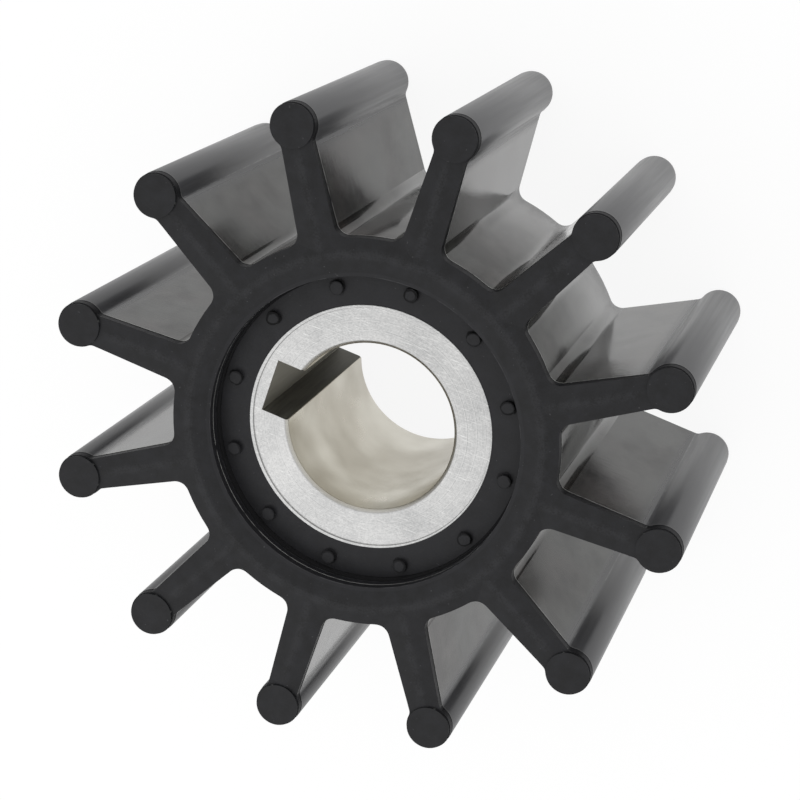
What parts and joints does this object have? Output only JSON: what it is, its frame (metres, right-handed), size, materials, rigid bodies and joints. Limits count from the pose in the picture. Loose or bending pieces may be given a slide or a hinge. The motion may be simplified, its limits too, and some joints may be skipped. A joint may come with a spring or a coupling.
{
  "type": "pump impeller",
  "caption": "Flexible rubber pump impeller with straight bulb-tipped vanes and a keyed metal insert bonded in its hub.",
  "frame": {"origin": "on the bore axis, in the plane of the back end that the impeller stands on", "axes": "+Z along the bore axis towards the front end with the gate pips; +X along vane 0, the vane nearest the keyway"},
  "size_m": [0.097, 0.097, 0.05],
  "materials": {
    "rubber": "moulded black rubber, satin on the ends and glossier on the vane flanks",
    "insert_metal": "turned and faced, bare"
  },
  "bodies": {
    "root": {"rubber_body": "rubber", "hub_insert": "insert_metal"}
  },
  "joints": []
}
